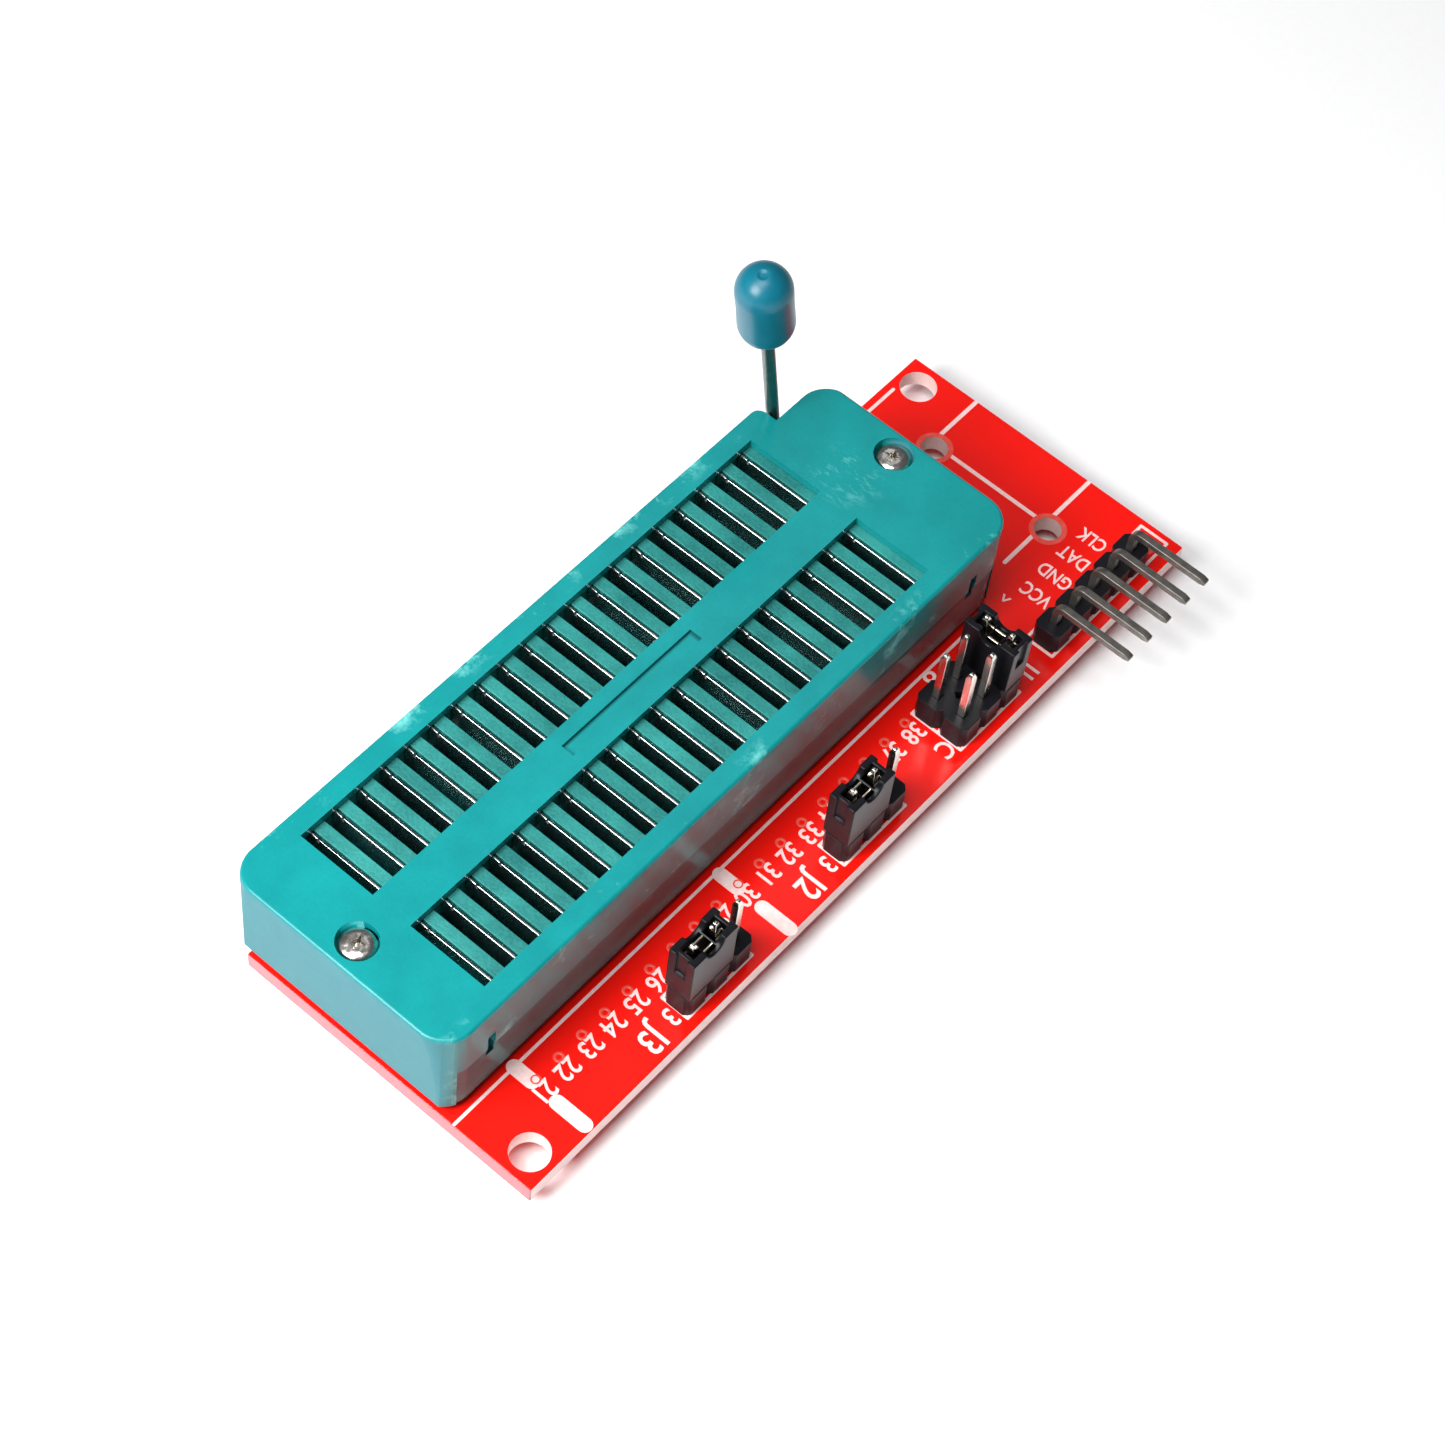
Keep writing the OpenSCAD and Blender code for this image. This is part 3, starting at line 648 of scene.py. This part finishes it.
# A scratched patch lies between the far screw and the windows
patch_mid = add(cover_plastic, "CombineXYZ", {"X": 56.3 * MM, "Y": 18.2 * MM, "Z": top_z})
patch_gap = add(cover_plastic, "VectorMath", {0: coords, 1: patch_mid.outputs[0]}, operation="DISTANCE")
near_patch = add(cover_plastic, "MapRange", {
    "Value": patch_gap.outputs["Value"], "From Min": 3.6 * MM, "From Max": 1.2 * MM, "To Max": 0.6,
})
skewed = add(cover_plastic, "Mapping", {"Vector": coords, "Rotation": (0, 0, 0.9), "Scale": (1.0, 0.45, 1.0)})
hairs = add(cover_plastic, "TexNoise", {
    "Vector": skewed.outputs[0], "Scale": grain(0.7), "Detail": 6.0, "Roughness": 0.7,
})
scratch = add(cover_plastic, "MapRange", {"Value": hairs.outputs["Fac"], "From Min": 0.52, "From Max": 0.72})
rubbed_patch = add(
    cover_plastic, "Math", {0: near_patch.outputs[0], 1: scratch.outputs[0]},
    operation="MULTIPLY",
)
wear = add(cover_plastic, "Math", {0: scuff.outputs[0], 1: rubbed_patch.outputs[0]}, operation="MAXIMUM")
scuffed = add(
    cover_plastic, "Mix", {FACTOR: wear.outputs[0], FIRST: teal, SECOND: linear("6fc4c0")},
    data_type="RGBA",
)
# Painted shade in the shallow recess between the windows, along its side and its end, where its walls shade
# it
RECESS_MID, RECESS_L, RECESS_W = 29.35, 14.6, 1.2
recess_end = (RECESS_MID + RECESS_L / 2) * MM
to_side = add(cover_plastic, "MapRange", {
    "Value": axes.outputs["Y"], "From Min": socket_mid.y + 0.3 * MM, "From Max": socket_mid.y + 0.55 * MM,
})
to_end = add(cover_plastic, "MapRange", {
    "Value": axes.outputs["X"], "From Min": recess_end - 0.35 * MM, "From Max": recess_end - 0.05 * MM,
})
nook = add(cover_plastic, "Math", {0: to_side.outputs[0], 1: to_end.outputs[0]}, operation="MAXIMUM")
depth = add(cover_plastic, "MapRange", {
    "Value": axes.outputs["Z"], "From Min": top_z - 0.02 * MM, "From Max": top_z - 0.12 * MM,
})
in_row = add(
    cover_plastic, "Math", {0: away.outputs[0], 1: (RECESS_W / 2 + 0.02) * MM},
    operation="LESS_THAN",
)
in_length = add(
    cover_plastic, "Math", {0: axes.outputs["X"], 1: RECESS_MID * MM, 2: (RECESS_L / 2 + 0.1) * MM},
    operation="COMPARE",
)
in_recess = add(cover_plastic, "Math", {0: in_row.outputs[0], 1: in_length.outputs[0]}, operation="MULTIPLY")
recess_shade = add(cover_plastic, "Math", {0: nook.outputs[0], 1: depth.outputs[0]}, operation="MULTIPLY")
recess_shade = add(cover_plastic, "Math", {0: recess_shade.outputs[0], 1: in_recess.outputs[0]}, operation="MULTIPLY")
teal_with_recess_shade = add(
    cover_plastic, "Mix", {FACTOR: recess_shade.outputs[0], FIRST: scuffed.outputs[MIXED], SECOND: linear("065457")},
    data_type="RGBA",
)
# Painted sheen: the end walls are a paler, greyer teal in mottled patches, for the bright light that the near
# end catches. They are also rougher
half_length = (socket_high.x - socket_low.x) / 2
along = add(cover_plastic, "Math", {0: axes.outputs["X"], 1: socket_mid.x}, operation="SUBTRACT")
reach = add(cover_plastic, "Math", {0: along.outputs[0]}, operation="ABSOLUTE")
ends = add(cover_plastic, "MapRange", {
    "Value": reach.outputs[0], "From Min": half_length - 1.3 * MM, "From Max": half_length - 0.6 * MM,
})
below = add(cover_plastic, "MapRange", {
    "Value": axes.outputs["Z"], "From Min": top_z - 0.04 * MM, "From Max": top_z - 0.3 * MM,
})
mottle = add(cover_plastic, "TexNoise", {
    "Vector": coords, "Scale": grain(1.6), "Detail": 4.0, "Roughness": 0.7,
})
pale = add(cover_plastic, "MapRange", {"Value": mottle.outputs["Fac"], "To Min": 0.7, "To Max": 1.0})
end_wall = add(cover_plastic, "Math", {0: ends.outputs[0], 1: below.outputs[0]}, operation="MULTIPLY")
frost = add(cover_plastic, "Math", {0: end_wall.outputs[0], 1: pale.outputs[0]}, operation="MULTIPLY")
teal_with_painted_sheen = add(
    cover_plastic, "Mix", {FACTOR: frost.outputs[0], FIRST: teal_with_recess_shade.outputs[MIXED], SECOND: linear("32707a")},
    data_type="RGBA",
)
cover_plastic.node_tree.links.new(teal_with_painted_sheen.outputs[MIXED], shader.inputs["Base Color"])
matt = add(cover_plastic, "MapRange", {"Value": frost.outputs[0], "To Min": 0.26, "To Max": 0.62})
cover_plastic.node_tree.links.new(matt.outputs[0], shader.inputs["Roughness"])
cover = merged_copy("socket_cover", "socket_cover_moulding")
# The rim is rounded on a solid blank a hair smaller, and the cover keeps what lies in it
bpy.ops.mesh.primitive_cube_add(
    size=1, location=socket_mid, scale=socket_high - socket_low - Vector((0.004, 0.006, 0.002)) * MM,
)
blank = bpy.context.object
bpy.ops.object.transform_apply(location=True, rotation=True, scale=True)
round_edges(blank, 2.68 * MM, upright, segments=14)
round_edges(blank, 0.3 * MM, lambda edge: middle(edge).z > top_z - 0.01 * MM, segments=3)
combine(cover, blank, "INTERSECT")
finish_piece(cover, cover_plastic, "root")
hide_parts("socket_cover")

# ---------------------------------------------------------------- cover screws
# Two small cross-head screws with bright nickel plating, sunk in the cover's counterbores.
# Bright nickel plate: a warm mirror whose shallow dents break up what it reflects
bright_nickel, shader, coords = start_material("bright_nickel_plate", metallic=1.0, roughness=0.26)
tarnish = add(bright_nickel, "TexNoise", {"Vector": coords, "Scale": grain(0.9), "Detail": 1.0})
plate = add(
    bright_nickel, "Mix", {FACTOR: tarnish.outputs["Fac"], FIRST: linear("b9b3aa"), SECOND: linear("f5f2ec")},
    data_type="RGBA",
)
bright_nickel.node_tree.links.new(plate.outputs[MIXED], shader.inputs["Base Color"])
dent = add(bright_nickel, "Bump", {"Height": tarnish.outputs["Fac"], "Strength": 0.8, "Distance": 0.16 * MM})
bright_nickel.node_tree.links.new(dent.outputs[0], shader.inputs["Normal"])
screws_low, screws_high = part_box("cover_screws")
HEAD_R, HEAD_H, SHANK_R = 1.45, 0.95, 0.75
head_top = screws_high.z / MM
made_screws = []
for x in (screws_low.x / MM + HEAD_R, screws_high.x / MM - HEAD_R):
    screw = turned("cross_head_screws", [
        (0.3, screws_low.z / MM), (SHANK_R, screws_low.z / MM + 0.8), (SHANK_R, head_top - HEAD_H),
        (HEAD_R - 0.1, head_top - HEAD_H), (HEAD_R, head_top - HEAD_H + 0.1), (HEAD_R, head_top - 0.42),
        (HEAD_R - 0.05, head_top - 0.28), (HEAD_R - 0.17, head_top - 0.15), (HEAD_R - 0.36, head_top - 0.06),
        (HEAD_R - 0.7, head_top - 0.01), (0.3, head_top),
    ])
    for turn in (20, 110):
        bpy.ops.mesh.primitive_cone_add(
            vertices=4, radius1=0.35 * MM, radius2=1.0 * MM, depth=1.2 * MM,
            location=(0, 0, (head_top - 0.1) * MM), rotation=(0, 0, math.radians(turn)),
            scale=(1.0, 0.34, 1.0),
        )
        combine(screw, bpy.context.object, "DIFFERENCE")
    screw.location.x, screw.location.y = x * MM, (screws_low.y + screws_high.y) / 2
    made_screws.append(screw)
screws = join(made_screws, "cross_head_screws")
finish_piece(screws, bright_nickel, "root")
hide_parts("cover_screws")

# ---------------------------------------------------------------- pin headers
# Square tinned brass pins pressed through moulded black nylon strips. Three strips are
# upright, and the programming header has its five pins bent out over the edge.
# Black nylon: a satin near-black with a fine, uneven skin
black_nylon, shader, coords = start_material("black_nylon", roughness=0.38, specular=0.15)
skin = add(black_nylon, "TexNoise", {"Vector": coords, "Scale": grain(0.4), "Detail": 3.0})
black = add(
    black_nylon, "Mix", {FACTOR: skin.outputs["Fac"], FIRST: linear("101014"), SECOND: linear("1c1c21")},
    data_type="RGBA",
)
black_nylon.node_tree.links.new(black.outputs[MIXED], shader.inputs["Base Color"])
bump = add(black_nylon, "Bump", {"Height": skin.outputs["Fac"], "Strength": 0.3, "Distance": 0.02 * MM})
black_nylon.node_tree.links.new(bump.outputs[0], shader.inputs["Normal"])
# Tin plate: bright and slightly warm, clouded by a thin bloom
tin, shader, coords = start_material("tin_plated_brass", metallic=1.0, roughness=0.2)
bloom = add(tin, "TexNoise", {"Vector": coords, "Scale": grain(0.5), "Detail": 3.0})
silver = add(
    tin, "Mix", {FACTOR: bloom.outputs["Fac"], FIRST: linear("c9c1b4"), SECOND: linear("f1ede6")},
    data_type="RGBA",
)
tin.node_tree.links.new(silver.outputs[MIXED], shader.inputs["Base Color"])
# Painted shade: the bent pins get a darker grey than the other pins, in uneven patches, for the dark
# surroundings that their sides reflect. They are also rougher
shaded_tin, shader, coords = start_material("tin_plate_with_painted_shade", metallic=1.0, roughness=0.45)
patchy_tone = add(shaded_tin, "TexNoise", {"Vector": coords, "Scale": grain(0.8), "Detail": 4.0})
shaded_grey = add(
    shaded_tin, "Mix", {FACTOR: patchy_tone.outputs["Fac"], FIRST: linear("5a5854"), SECOND: linear("aaa69f")},
    data_type="RGBA",
)
shaded_tin.node_tree.links.new(shaded_grey.outputs[MIXED], shader.inputs["Base Color"])
for header in ("j1", "j2", "j3", "icsp"):
    strip = merged_copy(f"{header}_header_strip", f"{header}_nylon_strip")
    round_edges(strip, 0.07 * MM)
    finish_piece(strip, black_nylon, "root")
    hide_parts(f"{header}_header_strip")
    pins = merged_copy(f"{header}_header_pins", f"{header}_tinned_pins")
    round_edges(pins, 0.04 * MM)
    finish_piece(pins, shaded_tin if header == "icsp" else tin, "root")
    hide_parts(f"{header}_header_pins")

# ---------------------------------------------------------------- jumper caps
# Each cap is a glossy black shell over a folded bronze clip, and pulls straight up
# off the two pins that it joins.
# Black polyester: a shinier black than the strips, with faint rubbed marks
glossy_black, shader, coords = start_material("black_polyester", roughness=0.3, specular=0.16)
mark = add(glossy_black, "TexNoise", {"Vector": coords, "Scale": grain(0.8), "Detail": 3.0})
ink_black = add(
    glossy_black, "Mix", {FACTOR: mark.outputs["Fac"], FIRST: linear("0c0c10"), SECOND: linear("17171b")},
    data_type="RGBA",
)
glossy_black.node_tree.links.new(ink_black.outputs[MIXED], shader.inputs["Base Color"])
# Phosphor bronze: bright and pale gold, toned in spots
bronze, shader, coords = start_material("bright_phosphor_bronze", metallic=1.0, roughness=0.2)
toned = add(bronze, "TexNoise", {"Vector": coords, "Scale": grain(0.5), "Detail": 3.0})
gold = add(
    bronze, "Mix", {FACTOR: toned.outputs["Fac"], FIRST: linear("c7b8a0"), SECOND: linear("efe6d6")},
    data_type="RGBA",
)
bronze.node_tree.links.new(gold.outputs[MIXED], shader.inputs["Base Color"])
for header in ("j1", "j2", "j3"):
    shell = merged_copy(f"{header}_cap_housing", f"{header}_cap_shell")
    round_edges(shell, 0.1 * MM)
    finish_piece(shell, glossy_black, f"{header}_cap")
    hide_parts(f"{header}_cap_housing")
    clip = merged_copy(f"{header}_cap_clip", f"{header}_cap_spring")
    round_edges(clip, 0.05 * MM)
    finish_piece(clip, bronze, f"{header}_cap")
    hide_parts(f"{header}_cap_clip")

# ---------------------------------------------------------------- solder joints
# Fillets of solder under the board, drawn up each tail by the molten metal.
# Tin and lead solder: a bright grey metal under a fine frost
solder_metal, shader, coords = start_material("tin_lead_solder", metallic=1.0, roughness=0.3)
frost = add(solder_metal, "TexNoise", {"Vector": coords, "Scale": grain(0.4), "Detail": 4.0})
grey = add(
    solder_metal, "Mix", {FACTOR: frost.outputs["Fac"], FIRST: linear("a9abad"), SECOND: linear("e4e6e7")},
    data_type="RGBA",
)
solder_metal.node_tree.links.new(grey.outputs[MIXED], shader.inputs["Base Color"])
tail_places = [(x, y) for y in (RIGHT_TAILS_Y, LEFT_TAILS_Y) for x in pin_columns]
pin_places = [(J1_X + k * PITCH, y) for k in range(3) for y in (UPRIGHT_Y, UPRIGHT_Y + PITCH)]
pin_places += [(x + k * PITCH, UPRIGHT_Y) for x in (J3_X, J2_X) for k in range(3)]
pin_places += [(BENT_X + k * PITCH, BENT_Y) for k in range(5)]
for node, name, places, tip in (
    ("socket_solder_joints", "socket_fillets", tail_places, 0.3),
    ("header_solder_joints", "header_fillets", pin_places, 0.44),
):
    fillet = turned("fillet", [
        (0.85, 0.02), (0.85, -0.06), (0.72, -0.16), (0.6, -0.3),
        (tip + 0.14, -0.5), (tip + 0.06, -0.75), (tip, -1.0),
    ], steps=16)
    fillets = []
    for x, y in places:
        bpy.ops.object.select_all(action="DESELECT")
        fillet.select_set(True)
        bpy.context.view_layer.objects.active = fillet
        bpy.ops.object.duplicate()
        bpy.context.object.location = (x * MM, y * MM, 0)
        fillets.append(bpy.context.object)
    bpy.data.objects.remove(fillet)
    fillets = join(fillets, name)
    finish_piece(fillets, solder_metal, "root", smooth=50)
    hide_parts(node)
